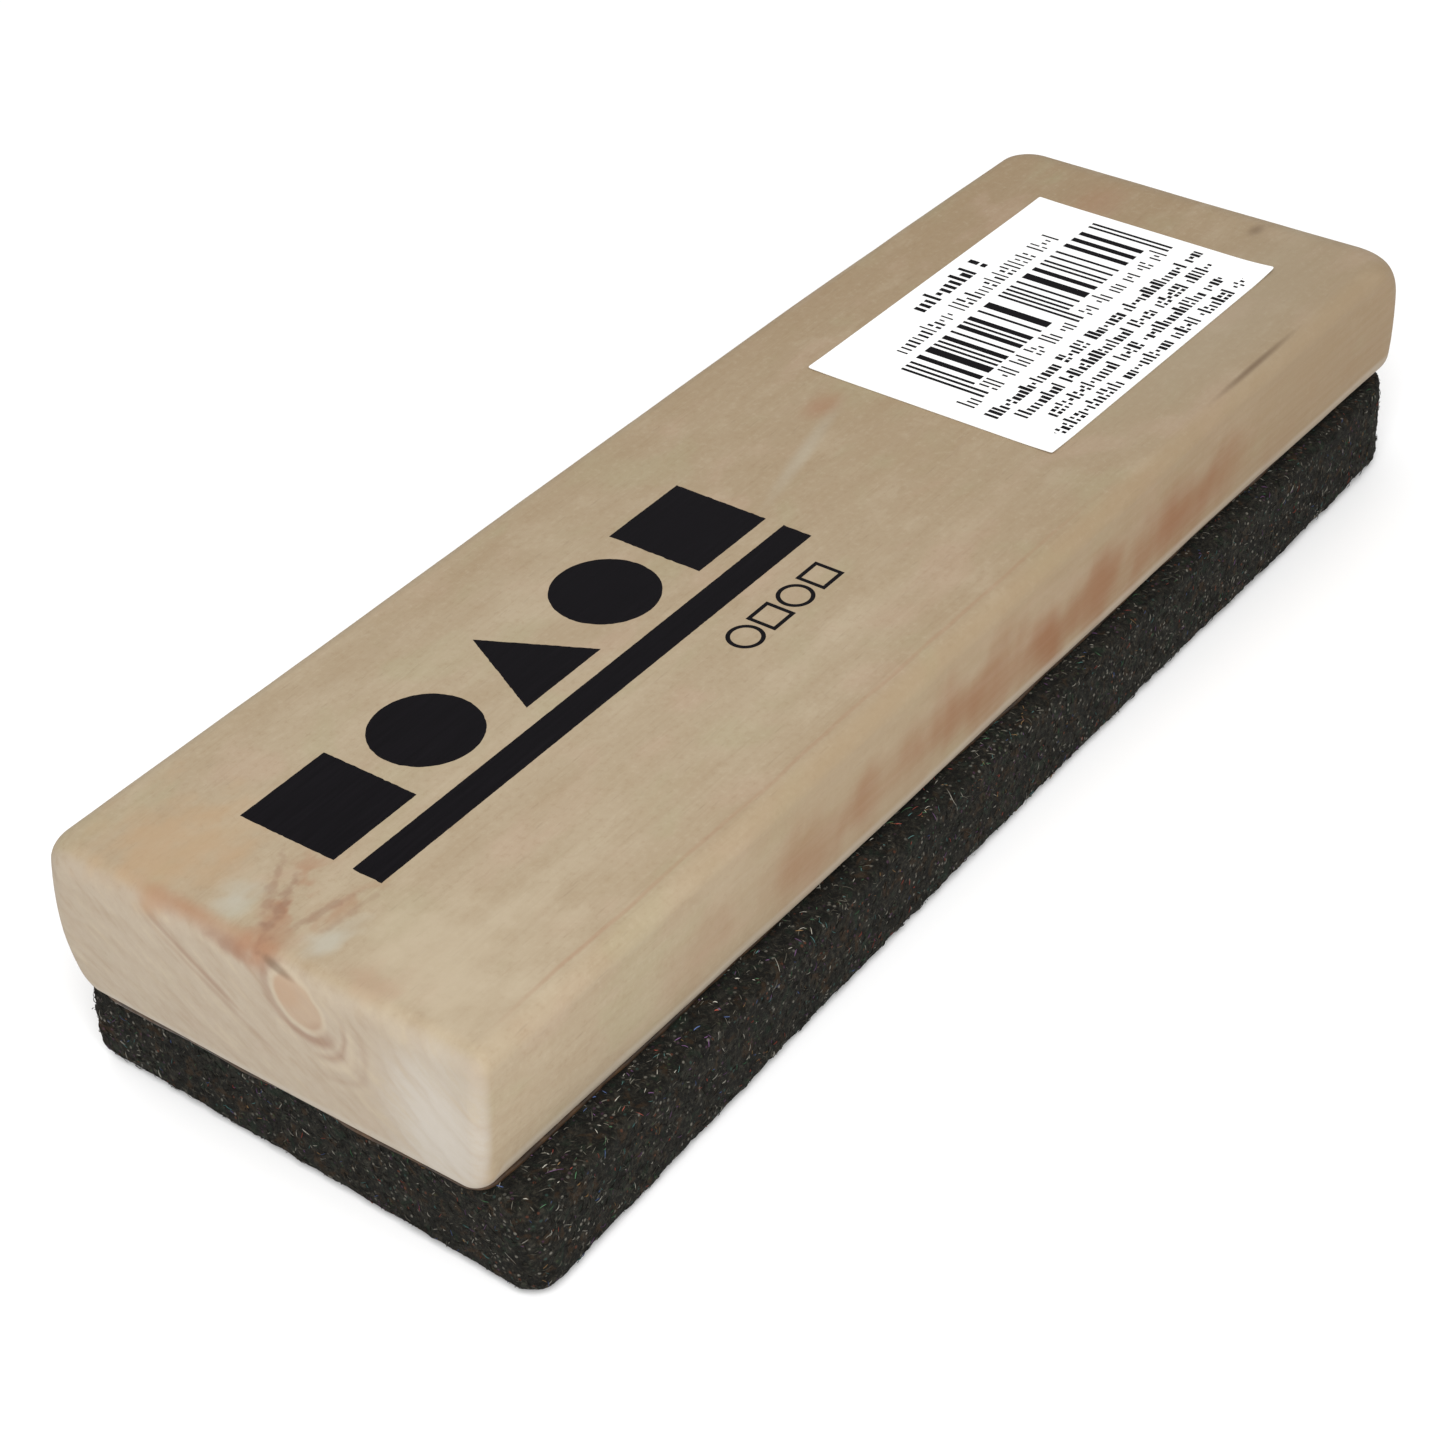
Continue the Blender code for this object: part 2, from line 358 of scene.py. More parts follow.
def make_felt():
    share_x = graded((4 * MM, 9 * MM), (14, 26), 260, FELT_LENGTH)
    share_y = graded((6 * MM, 6 * MM), (18, 18), 70, FELT_WIDTH)
    felt, points, normals = solid_object("felt_body", felt_levels(), share_x, share_y)
    half_width = FELT_WIDTH / 2

    # The near end was cut out of square, and the visible long side is slightly waisted.
    near = np.clip(0.5 - points[:, 0] / FELT_LENGTH, 0, 1)
    points[:, 0] += points[:, 1] * math.tan(FELT_END_SKEW) * near
    waist = np.clip(1 - ((points[:, 0] - FELT_WAIST_AT) / FELT_WAIST_REACH) ** 2, 0, 1)
    points[:, 1] += FELT_WAIST * waist * np.clip(-points[:, 1] / half_width, 0, None)

    # Its near corner on the hidden side bulges a little.
    corner = np.clip(1 - (points[:, 0] + FELT_LENGTH / 2) / FELT_BULGE_REACH, 0, 1) ** 2
    corner *= np.clip(points[:, 1] / half_width, 0, 1) ** 2
    points[:, 1] += (FELT_BULGE + FELT_BULGE_MORE_ABOVE * points[:, 2] / FELT_TOP) * corner

    # The nap's unevenness is weaker on the flat top and bottom, and the top stays clear of the block.
    nap = fractal(points, NAP_WAVE_SIZE, 2) * NAP_WAVE
    nap += fractal(points, NAP_GRAIN_SIZE, 3, 9) * NAP_GRAIN
    nap -= NAP_SINK
    nap *= 1 - 0.7 * smooth_step(np.abs(normals[:, 2]), 0.8, 1.0)
    points += normals * nap[:, None]
    points[:, 2] = np.clip(points[:, 2], 0.0, BLOCK_LOW.z - FELT_CLEARANCE)
    set_coordinates(felt, felt_to_frame(points))
    return felt


# ---------------- loose felt strands

# Lengths, lifts and radii are ranges in millimetres. Strands on the wiping face are combed flat.
FIBRES = 21000
FIBRE_PIECES = 3
FIBRE_SIDES = 3
FIBRE_STEPS = 5
FIBRE_LENGTH = (0.22, 0.85)
FIBRE_LIFT = (0.02, 0.10)
FIBRE_RADIUS = (0.024, 0.056)
FIBRE_SCATTER = 0.2 * MM
FIBRE_SINK = 0.03 * MM
FIBRE_FLOOR = 0.06 * MM
COMBED_LIFT = 0.01 * MM
STRAY_SHARE = 0.03
WIPING_FACE_SHARE = 0.16
COVERED_HALF_X, COVERED_HALF_Y = 68 * MM, 18.5 * MM
# Painted light: strands that face up are made lighter as if lit from above, fading towards the far end.
UPWARD_PAINTED_LIGHT = 1.7
PAINTED_LIGHT_FADE = 100 * MM

# Colours of the strands and how common each is: the pad's own dark shades, then recycled threads.
FIBRE_PALETTE = (
    ((0.006, 0.0055, 0.0042), 0.46),
    ((0.021, 0.019, 0.015), 0.24),
    ((0.066, 0.062, 0.050), 0.14),
    ((0.21, 0.20, 0.17), 0.045),
    ((0.04, 0.09, 0.085), 0.025),
    ((0.03, 0.07, 0.035), 0.02),
    ((0.08, 0.04, 0.09), 0.02),
    ((0.16, 0.035, 0.025), 0.015),
    ((0.04, 0.06, 0.13), 0.015),
    ((0.15, 0.09, 0.04), 0.01),
)


def strand_roots(felt, rng):
    """The middle of each strand on the pad, the normal there, and two directions across it."""
    faces = felt.data.polygons
    centres, normals = read_array(faces, "center", 3), read_array(faces, "normal", 3)
    weight = read_array(faces, "area", 1)[:, 0]
    covered = (np.abs(centres[:, 0]) < COVERED_HALF_X) & (np.abs(centres[:, 1]) < COVERED_HALF_Y)
    weight[covered & (normals[:, 2] > 0.7)] = 0
    weight[normals[:, 2] < -0.7] *= WIPING_FACE_SHARE
    picked = rng.choice(len(faces), size=FIBRES, p=weight / weight.sum())
    centre, normal = centres[picked], normals[picked]
    side = np.cross(normal, rng.normal(size=(FIBRES, 3)))
    side /= np.linalg.norm(side, axis=1)[:, None]
    other = np.cross(normal, side)
    for direction in (side, other):
        centre = centre + direction * rng.normal(0, FIBRE_SCATTER, FIBRES)[:, None]
    return centre, normal, side, other


def fibre_colours(rng, centre, normal):
    """Colour of each strand. Strands that face up, on the ledge, are painted lighter, as painted light from
    above, most of it towards the near end.
    """
    shares = np.array([share for _, share in FIBRE_PALETTE])
    chosen = rng.choice(len(FIBRE_PALETTE), size=FIBRES, p=shares / shares.sum())
    colours = np.array([colour for colour, _ in FIBRE_PALETTE])[chosen]
    # Painted light: a strand is lighter the more it faces up, and more so towards the near end.
    painted_light = np.clip(normal[:, 2], 0, 1) * np.clip(0.75 - centre[:, 0] / PAINTED_LIGHT_FADE, 0.2, 1.4)
    colours = colours * (1 + UPWARD_PAINTED_LIGHT * painted_light[:, None])
    return np.hstack([colours, np.ones((FIBRES, 1))]).astype(np.float32)


def tube_faces(tubes):
    """Faces of closed tubes whose points are numbered tube by tube, ring by ring."""
    base = np.arange(tubes)[:, None] * FIBRE_STEPS * FIBRE_SIDES
    quads = []
    for step in range(FIBRE_STEPS - 1):
        for corner in range(FIBRE_SIDES):
            a = step * FIBRE_SIDES + corner
            b = step * FIBRE_SIDES + (corner + 1) % FIBRE_SIDES
            quads.append(base + np.array([a, b, b + FIBRE_SIDES, a + FIBRE_SIDES]))
    ring = np.arange(FIBRE_SIDES)
    caps = [base + ring[::-1], base + (FIBRE_STEPS - 1) * FIBRE_SIDES + ring]
    return [tuple(q) for q in np.concatenate(quads)] + [tuple(c) for c in np.concatenate(caps)]


def make_fibres(felt):
    """Loose strands on the pad's sides, its ledge and its wiping face, as a few meshes of fine tubes."""
    rng = np.random.default_rng(SEED)
    centre, normal, side, other = strand_roots(felt, rng)
    length = rng.uniform(*FIBRE_LENGTH, FIBRES) * MM
    lift = rng.uniform(*FIBRE_LIFT, FIBRES) * MM
    stray = rng.random(FIBRES) < STRAY_SHARE
    lift[stray] *= 2.0
    length[stray] *= 1.9
    lift[normal[:, 2] < -0.5] = COMBED_LIFT
    bend = rng.normal(0, 0.9, FIBRES)
    thick = rng.uniform(*FIBRE_RADIUS, FIBRES) * MM
    thick[stray] *= 0.6
    colours = fibre_colours(rng, centre, normal)

    points = np.empty((FIBRES, FIBRE_STEPS, FIBRE_SIDES, 3))
    for step, share in enumerate(np.linspace(0, 1, FIBRE_STEPS)):
        run = length * (share - 0.5)
        sway = length * 0.35 * np.sin(bend * share * 1.5) * share
        rise = lift * math.sin(math.pi * share) - FIBRE_SINK
        path = centre + side * run[:, None] + other * sway[:, None] + normal * rise[:, None]
        path[:, 2] = np.maximum(path[:, 2], FIBRE_FLOOR)
        size = thick * (0.45 + 0.55 * math.sin(math.pi * share))
        for corner in range(FIBRE_SIDES):
            angle = 2 * math.pi * corner / FIBRE_SIDES
            offset = normal * math.cos(angle) + other * math.sin(angle)
            points[:, step, corner] = path + offset * size[:, None]

    per_piece = FIBRES // FIBRE_PIECES
    faces = tube_faces(per_piece)
    pieces = []
    for number in range(FIBRE_PIECES):
        part = slice(number * per_piece, (number + 1) * per_piece)
        piece = mesh_object(f"felt_fibres_{number + 1}", points[part].reshape(-1, 3), faces)
        shade = piece.data.color_attributes.new("strand", "FLOAT_COLOR", "POINT")
        per_point = np.repeat(colours[part], FIBRE_STEPS * FIBRE_SIDES, axis=0)
        shade.data.foreach_set("color", per_point.ravel())
        pieces.append(piece)
    return pieces


# ---------------- glue

GLUE_LENGTH, GLUE_WIDTH = 142.5 * MM, 40.5 * MM
GLUE_CORNERS = (2.0 * MM, 5.0 * MM, 6.0 * MM, 2.5 * MM)
GLUE_INTO_FELT = 0.2 * MM
GLUE_INTO_WOOD = 0.12 * MM
GLUE_BULGE = 0.3 * MM
GLUE_UNEVEN = 0.30 * MM
GLUE_FAR_DRAW = 1.1 * MM


def make_glue():
    """Dried glue in the joint, with an uneven outline where it was squeezed out."""
    z0, z1 = FELT_TOP - GLUE_INTO_FELT, BLOCK_LOW.z + GLUE_INTO_WOOD
    levels = []
    for share in (0.0, 0.15, 0.5, 0.85, 1.0):
        draw = GLUE_BULGE * (2 * share - 1) ** 2
        z = z0 + (z1 - z0) * share
        levels.append(centred_level(z, GLUE_LENGTH, GLUE_WIDTH, draw, GLUE_CORNERS))
    share_x = graded((3 * MM, 3 * MM), (6, 6), 150, GLUE_LENGTH)
    share_y = graded((3 * MM, 3 * MM), (6, 6), 36, GLUE_WIDTH)
    glue, points, normals = solid_object("glue_line", levels, share_x, share_y)
    out = fractal(points, 7 * MM, 3) * GLUE_UNEVEN
    flat = np.abs(normals[:, 2]) > 0.9
    points[:, :2] += normals[:, :2] * np.where(flat, 0, out)[:, None]
    hidden = np.clip(points[:, 1] / (GLUE_WIDTH / 2), 0, 1)
    points[:, 1] -= GLUE_FAR_DRAW * towards_end(points, 1) * hidden
    points[:, 2] += joint_rise(points) * (points[:, 2] - z0) / (z1 - z0)
    set_coordinates(glue, points)
    return glue


# ---------------- label and print

LABEL_TURN = math.radians(-0.6)
LABEL_LENGTH, LABEL_WIDTH = 40.3 * MM, 27.0 * MM
LABEL_CORNER = 0.22 * MM
LABEL_EDGE = 0.03 * MM
LABEL_GAP = 0.02 * MM
LABEL_ROOM_ABOVE = 0.06 * MM
INK_SINK = 0.004 * MM
INK_RISE = 0.007 * MM

# How far each corner of the label has curled up, and how far in from the corner the curl starts.
LABEL_CURLS = ((-1, -1, 0.10 * MM), (1, -1, 0.22 * MM), (1, 1, 0.06 * MM), (-1, 1, 0.05 * MM))
LABEL_CURL_REACH = 4.5 * MM


def label_lift(x, y):
    """Height that a corner of the label has curled up by. x and y run from its centre."""
    lift = 0.0
    for sx, sy, most in LABEL_CURLS:
        reach = np.hypot(x - sx * LABEL_LENGTH / 2, y - sy * LABEL_WIDTH / 2)
        lift = lift + most * np.clip(1 - reach / LABEL_CURL_REACH, 0, 1) ** 2
    return lift


def label_to_frame(points):
    centre = (PAPER_LOW + PAPER_HIGH) / 2
    x, y = rotated(points[:, 0], points[:, 1], LABEL_TURN)
    return np.column_stack([centre.x + x, centre.y + y, points[:, 2]])


def make_label():
    """The paper sheet, and the height of its printed face."""
    base, top = BLOCK_HIGH.z + LABEL_GAP, PAPER_HIGH.z - LABEL_ROOM_ABOVE
    corners = [LABEL_CORNER] * 4
    levels = [
        centred_level(base + (top - base) * share, LABEL_LENGTH, LABEL_WIDTH, draw, corners)
        for share, draw in ((0, LABEL_EDGE), (0.15, 0.0), (0.85, 0.0), (1, LABEL_EDGE))
    ]
    share_x = graded((1 * MM, 1 * MM), (6, 6), 80, LABEL_LENGTH)
    share_y = graded((1 * MM, 1 * MM), (6, 6), 54, LABEL_WIDTH)
    label, points, _ = solid_object("label_sheet", levels, share_x, share_y)
    points[:, 2] += label_lift(points[:, 0], points[:, 1])
    set_coordinates(label, label_to_frame(points))
    return label, top


class InkSheet:
    """Collects flat printed shapes on one surface, and turns them into a mesh of very thin slabs."""

    def __init__(self, surface):
        self.low, self.high = surface - INK_SINK, surface + INK_RISE
        self.points = []
        self.faces = []

    def add_loop(self, loop, z):
        self.points += [(x, y, z) for x, y in loop]
        return len(self.points) - len(loop)

    def add_walls(self, loops, count):
        """Quads from each loop to the next one, all with the same number of points."""
        for a, b in zip(loops[:-1], loops[1:]):
            for i in range(count):
                j = (i + 1) % count
                self.faces.append((a + i, a + j, b + j, b + i))

    def slab(self, outline):
        """One filled shape. outline is anticlockwise."""
        count = len(outline)
        low, high = self.add_loop(outline, self.low), self.add_loop(outline, self.high)
        self.faces.append(tuple(range(low, low + count))[::-1])
        self.faces.append(tuple(range(high, high + count)))
        self.add_walls((low, high), count)

    def band(self, outer, inner):
        """A closed outline drawn as a line: two loops with the same number of points."""
        outer_low, outer_high = self.add_loop(outer, self.low), self.add_loop(outer, self.high)
        inner_low, inner_high = self.add_loop(inner, self.low), self.add_loop(inner, self.high)
        self.add_walls((outer_low, outer_high, inner_high, inner_low, outer_low), len(outer))

    def build(self, name, place=None):
        points = np.array(self.points, float)
        if place is not None:
            points = place(points)
        return mesh_object(name, points, self.faces, smooth=False)


def bar(x0, x1, y0, y1):
    """Outline of an upright rectangle."""
    return [(x0, y0), (x1, y0), (x1, y1), (x0, y1)]


def square(cx, cy, half):
    return bar(cx - half, cx + half, cy - half, cy + half)


def polygon(cx, cy, radius, sides):
    turns = [2 * math.pi * i / sides for i in range(sides)]
    return [(cx + radius * math.cos(turn), cy + radius * math.sin(turn)) for turn in turns]


def tick(ink, rng, x, y, stroke, height):
    """One upright stroke of a line of print: tall, short, split in two, or a low block."""
    foot, head = y - height / 2, y + height / 2
    kind = rng.random()
    if kind < 0.22:
        spans = ((foot, head),)
    elif kind < 0.74:
        spans = ((foot, foot + height * rng.choice((0.62, 0.70))),)
    elif kind < 0.90:
        above = foot + height * rng.choice((0.78, 1.0))
        spans = ((foot, foot + height * 0.30), (foot + height * 0.46, above))
    else:
        spans = ((foot + height * 0.25, foot + height * 0.55),)
    for y0, y1 in spans:
        ink.slab(bar(x, x + stroke, y0, y1))


def word_row(ink, rng, y, height, x0, x1, pitch, thickness):
    """A line of print with no letters in it: words made of upright strokes of mixed heights."""
    count = round((x1 - x0) / (height * pitch))
    step = (x1 - x0) / count
    until_space = rng.randint(9, 18)
    for place in range(count):
        until_space -= 1
        if until_space < 0:
            until_space = rng.randint(6, 19)
            continue
        stroke = step * thickness * rng.choice((0.85, 1.0, 1.3))
        tick(ink, rng, x0 + place * step, y, stroke, height)


# Lines of print, in millimetres from the label's centre: middle, height, left and right ends, then the
# step between strokes as a share of the height, and a stroke's width as a share of the step.
PRINT_ROWS = (
    (11.15, 2.05, -5.7, 5.7, 0.42, 0.60),
    (8.05, 1.95, -13.1, 14.1, 0.36, 0.38),
    (-5.55, 1.50, -18.1, 19.3, 0.42, 0.58),
    (-7.75, 1.50, -16.5, 17.8, 0.42, 0.56),
    (-9.90, 1.50, -14.8, 16.1, 0.42, 0.56),
    (-12.00, 1.50, -17.4, 18.0, 0.42, 0.56),
)

# The bar pattern: cells of equal width, with long guard bars at its ends and its middle.
BARS_LEFT, BARS_LENGTH, BARS_CELLS = -15.65 * MM, 34.1 * MM, 95
BARS_TOP, BARS_FOOT, GUARD_FOOT = 6.05 * MM, -1.15 * MM, -3.15 * MM
GUARD_CELLS = (0, 2, 46, 48, 92, 94)
BAR_RUNS = ((4, 44), (50, 90))

# Groups of marks where digits would stand: the left end in millimetres, and how many.
DIGIT_GROUPS = ((-17.7, 1), (-13.9, 6), (2.7, 6))
DIGIT_STEP = 2.52
DIGIT_WIDTH = 1.2
DIGIT_STROKE = 0.26 * MM
DIGIT_MIDDLE, DIGIT_HEIGHT = -2.5 * MM, 2.0 * MM


def make_label_print(surface):
    """Generic label print: ticks for words and digits, and a bar pattern that encodes nothing."""
    rng = random.Random(SEED)
    ink = InkSheet(surface)
    for y, height, x0, x1, pitch, thickness in PRINT_ROWS:
        word_row(ink, rng, y * MM, height * MM, x0 * MM, x1 * MM, pitch, thickness)

    cell_width = BARS_LENGTH / BARS_CELLS
    for cell in GUARD_CELLS:
        x = BARS_LEFT + cell * cell_width
        ink.slab(bar(x, x + cell_width, GUARD_FOOT, BARS_TOP))
    for cell, last in BAR_RUNS:
        while cell < last:
            wide = min(rng.choice((1, 1, 1, 1, 2, 2, 3)), last - cell)
            x = BARS_LEFT + cell * cell_width
            ink.slab(bar(x, x + wide * cell_width, BARS_FOOT, BARS_TOP))
            cell += wide + rng.choice((1, 1, 1, 2, 2, 3))

    for left, count in DIGIT_GROUPS:
        for place in range(count):
            for across in (0.0, 0.5, 1.0):
                x = (left + DIGIT_STEP * place + DIGIT_WIDTH * across) * MM
                tick(ink, rng, x, DIGIT_MIDDLE, DIGIT_STROKE, DIGIT_HEIGHT)
    return ink.build("label_print", label_to_frame)


MARK_LEFT = -60.7 * MM
MARK_LENGTH = 56.8 * MM
MARK_BASE = -3.0 * MM
MARK_SHAPE = 9.8 * MM
MARK_BAR = 3.0 * MM
MARK_GAP = 1.9 * MM
MARK_SPREAD = 0.02 * MM
MARK_SPACING = 0.3 * MM
SMALL_LEFT, SMALL_MIDDLE = -19.3 * MM, -7.1 * MM
SMALL_STEP = 3.6 * MM
SMALL_SIZE = 3.4 * MM
SMALL_LINE = 0.40 * MM


def densified(outline):
    """The outline with points added along its sides."""
    points = []
    for (ax, ay), (bx, by) in zip(outline, outline[1:] + outline[:1]):
        pieces = max(1, round(math.hypot(bx - ax, by - ay) / MARK_SPACING))
        for i in range(pieces):
            points.append((ax + (bx - ax) * i / pieces, ay + (by - ay) * i / pieces))
    return points


def ragged(outline, rng):
    """The outline with a slight spread of ink, more along the grain than across it."""
    spread_x, spread_y = MARK_SPREAD, 0.4 * MARK_SPREAD
    return [(x + rng.gauss(0, spread_x), y + rng.gauss(0, spread_y)) for x, y in outline]


def make_mark():
    """Generic printed mark: a row of plain shapes standing on a bar, and a row of small outlines."""
    rng = random.Random(SEED + 1)
    ink = InkSheet(BLOCK_HIGH.z)
    half = MARK_SHAPE / 2
    step = (MARK_LENGTH - MARK_SHAPE) / 4
    cy = MARK_BASE + MARK_BAR + MARK_GAP + half
    for place in range(5):
        cx = MARK_LEFT + half + place * step
        if place in (0, 4):
            outline = densified(square(cx, cy, half))
        elif place in (1, 3):
            outline = polygon(cx, cy, half, 96)
        else:
            outline = densified([(cx - half, cy - half), (cx + half, cy - half), (cx, cy + half)])
        ink.slab(ragged(outline, rng))
    base = bar(MARK_LEFT, MARK_LEFT + MARK_LENGTH, MARK_BASE, MARK_BASE + MARK_BAR)
    ink.slab(ragged(densified(base), rng))
    for place in range(4):
        cx = SMALL_LEFT + place * SMALL_STEP
        radius = SMALL_SIZE / 2
        if place % 2 == 0:
            outer = polygon(cx, SMALL_MIDDLE, radius, 40)
            inner = polygon(cx, SMALL_MIDDLE, radius - SMALL_LINE, 40)
        else:
            outer = square(cx, SMALL_MIDDLE, 0.9 * radius)
            inner = square(cx, SMALL_MIDDLE, 0.9 * radius - SMALL_LINE)
        ink.band(outer, inner)
    return ink.build("printed_mark")


# ---------------- material nodes


class Nodes:
    """Wires up one material. Values that vary go through nodes; even ones sit on the shader."""

    def __init__(self, name):
        self.material = bpy.data.materials.new(name)
        self.material.use_nodes = True
        self.tree = self.material.node_tree
        self.shader = self.tree.nodes["Principled BSDF"]
        place = self.add("ShaderNodeTexCoord").outputs["Object"]
        self.mm = self.vector("SCALE", place, scale=1000.0)
        self.colour = None

    def add(self, kind, inputs=None, **settings):
        node = self.tree.nodes.new(kind)
        for key, value in settings.items():
            setattr(node, key, value)
        for key, value in (inputs or {}).items():
            self.feed(node.inputs[key], value)
        return node

    def feed(self, socket, value):
        if isinstance(value, bpy.types.NodeSocket):
            self.tree.links.new(value, socket)
        else:
            socket.default_value = value

    def surface(self, **sockets):
        """Sets the shader's sockets, named with _ for a space, to a value or from a node."""
        for name, value in sockets.items():
            self.feed(self.shader.inputs[name.replace("_", " ")], value)

    def vector(self, operation, a, b=None, scale=None):
        node = self.add("ShaderNodeVectorMath", {0: a}, operation=operation)
        if b is not None:
            self.feed(node.inputs[1], b)
        if scale is not None:
            self.feed(node.inputs["Scale"], scale)
        return node.outputs["Value" if operation == "LENGTH" else "Vector"]

    def math(self, operation, a, b=0.0, clamp=False):
        node = self.add("ShaderNodeMath", {0: a, 1: b}, operation=operation, use_clamp=clamp)
        return node.outputs[0]

    def plus(self, a, b):
        return self.math("ADD", a, b)

    def minus(self, a, b):
        return self.math("SUBTRACT", a, b)

    def times(self, a, b):
        return self.math("MULTIPLY", a, b)

    def centred(self, value, gain):
        """Noise of 0 to 1, moved to lie about 0 and scaled."""
        return self.times(self.minus(value, 0.5), gain)

    def stretched(self, x, y=1.0, z=1.0):
        """Coordinates for noise that is drawn out along an axis with a small factor."""
        return self.vector("MULTIPLY", self.mm, (x, y, z))

    def turned(self, place, angle, axis):
        inputs = {"Vector": place, "Angle": angle}
        return self.add("ShaderNodeVectorRotate", inputs, rotation_type=axis).outputs[0]

    def noise(self, place, scale, detail=2.0, roughness=0.5, distortion=0.0):
        inputs = {"Vector": place, "Scale": scale, "Detail": detail}
        inputs.update({"Roughness": roughness, "Distortion": distortion})
        return self.add("ShaderNodeTexNoise", inputs).outputs["Fac"]

    def range(self, value, low, high, to_low=0.0, to_high=1.0):
        inputs = {"Value": value, "From Min": low, "From Max": high}
        inputs.update({"To Min": to_low, "To Max": to_high})
        node = self.add("ShaderNodeMapRange", inputs, interpolation_type="SMOOTHSTEP")
        return node.outputs["Result"]

    def ramp(self, value, stops, interpolation="LINEAR"):
        node = self.add("ShaderNodeValToRGB", {"Fac": value})
        ramp = node.color_ramp
        ramp.interpolation = interpolation
        while len(ramp.elements) < len(stops):
            ramp.elements.new(0.5)
        for element, (position, colour) in zip(ramp.elements, stops):
            element.position = position
            element.color = (*colour, 1.0) if isinstance(colour, tuple) else (colour, colour, colour, 1.0)
        return node.outputs["Color"]

    def mix(self, share, a, b):
        node = self.add("ShaderNodeMix", data_type="RGBA")
        for index, value in ((0, share), (6, a), (7, b)):
            self.feed(node.inputs[index], (*value, 1.0) if isinstance(value, tuple) else value)
        return node.outputs[2]

    def spot(self, centre, radii, soft=1.0, wobble=None, turn=0.0, axis="Z_AXIS"):
        """1 at the centre of an ellipsoid in millimetres, falling to 0 over the soft part of its radius."""
        away = self.vector("SUBTRACT", self.mm, centre)
        if turn:
            away = self.turned(away, math.radians(-turn), axis)
        reach = self.vector("LENGTH", self.vector("DIVIDE", away, radii))
        if wobble is not None:
            reach = self.plus(reach, wobble)
        return self.range(reach, 1.0, 1.0 - soft)

    def lay(self, tint, share, mask, *more):
        """Lays a share of a tint over the colour so far, where every mask allows."""
        for other in more:
            mask = self.times(mask, other)
        self.colour = self.mix(self.times(mask, share), self.colour, tint)

    def lay_between(self, tint, share, value, low, high, *more):
        """Lays a tint that sets in as a value goes from low to high."""
        self.lay(tint, share, self.range(value, low, high), *more)

    def lay_spots(self, soft, wobble, *rows):
        """Lays tints in spots. A row holds the tint, its share, and the spot's centre, radii and turn."""
        for tint, share, centre, radii, turn in rows:
            self.lay(tint, share, self.spot(centre, radii, soft, wobble, turn))

    def bump(self, height, distance, strength):
        inputs = {"Height": height, "Distance": distance, "Strength": strength}
        return self.add("ShaderNodeBump", inputs).outputs["Normal"]


def srgb(red, green, blue):
    """Linear colour from a display colour of 0 to 255."""
    values = (red / 255, green / 255, blue / 255)
    return tuple(v / 12.92 if v <= 0.04045 else ((v + 0.055) / 1.055) ** 2.4 for v in values)


# ---------------- bare wood

NEAR_WOOD = srgb(159, 143, 119)
FAR_WOOD = srgb(147, 127, 100)
PALE_WOOD = srgb(174, 160, 137)
BROWN_WOOD = srgb(146, 126, 98)
PINK_WOOD = srgb(168, 144, 124)
GREEN_WOOD = srgb(152, 144, 114)
RING_WOOD = srgb(132, 108, 81)
PORE_WOOD = srgb(96, 76, 58)
GREY_WOOD = srgb(150, 138, 117)
END_WOOD = srgb(162, 150, 135)
# Pale bleached wood, also used for the painted highlight along the block's lower edge.
BLEACHED_AND_HIGHLIGHT = srgb(178, 171, 161)
RED_WOOD = srgb(130, 86, 54)
FLARE_WOOD = srgb(146, 106, 80)
ORANGE_WOOD = srgb(164, 136, 104)
PALE_PATCH = srgb(166, 162, 148)
KNOT_RED = srgb(126, 94, 76)
KNOT_HEART = srgb(160, 134, 110)
KNOT_RIM = srgb(176, 162, 140)

# Places in the wood, in millimetres.
TOP = BLOCK_HIGH.z / MM
PITH_Y, PITH_Z = 31, -20
RING_WIDTH = 2.9
KNOT_X, KNOT_Y, KNOT_Z = -72.4, -4.4, 21.4
KNOT_DEPTH = 3
KNOT_LEAN = 0.42
KNOT_PUSH = 4

# Reddish smudges low along the visible side: middle and half length along X, and strength.
SMUDGES = (
    (-46, 9, 0.18),
    (-29, 7, 0.20),
    (-20, 9, 0.24),
    (-9.5, 9, 0.50),
    (3.5, 8.5, 0.72),
    (13, 8, 0.55),
    (26.5, 8, 0.60),
    (37.5, 6, 0.50),
)


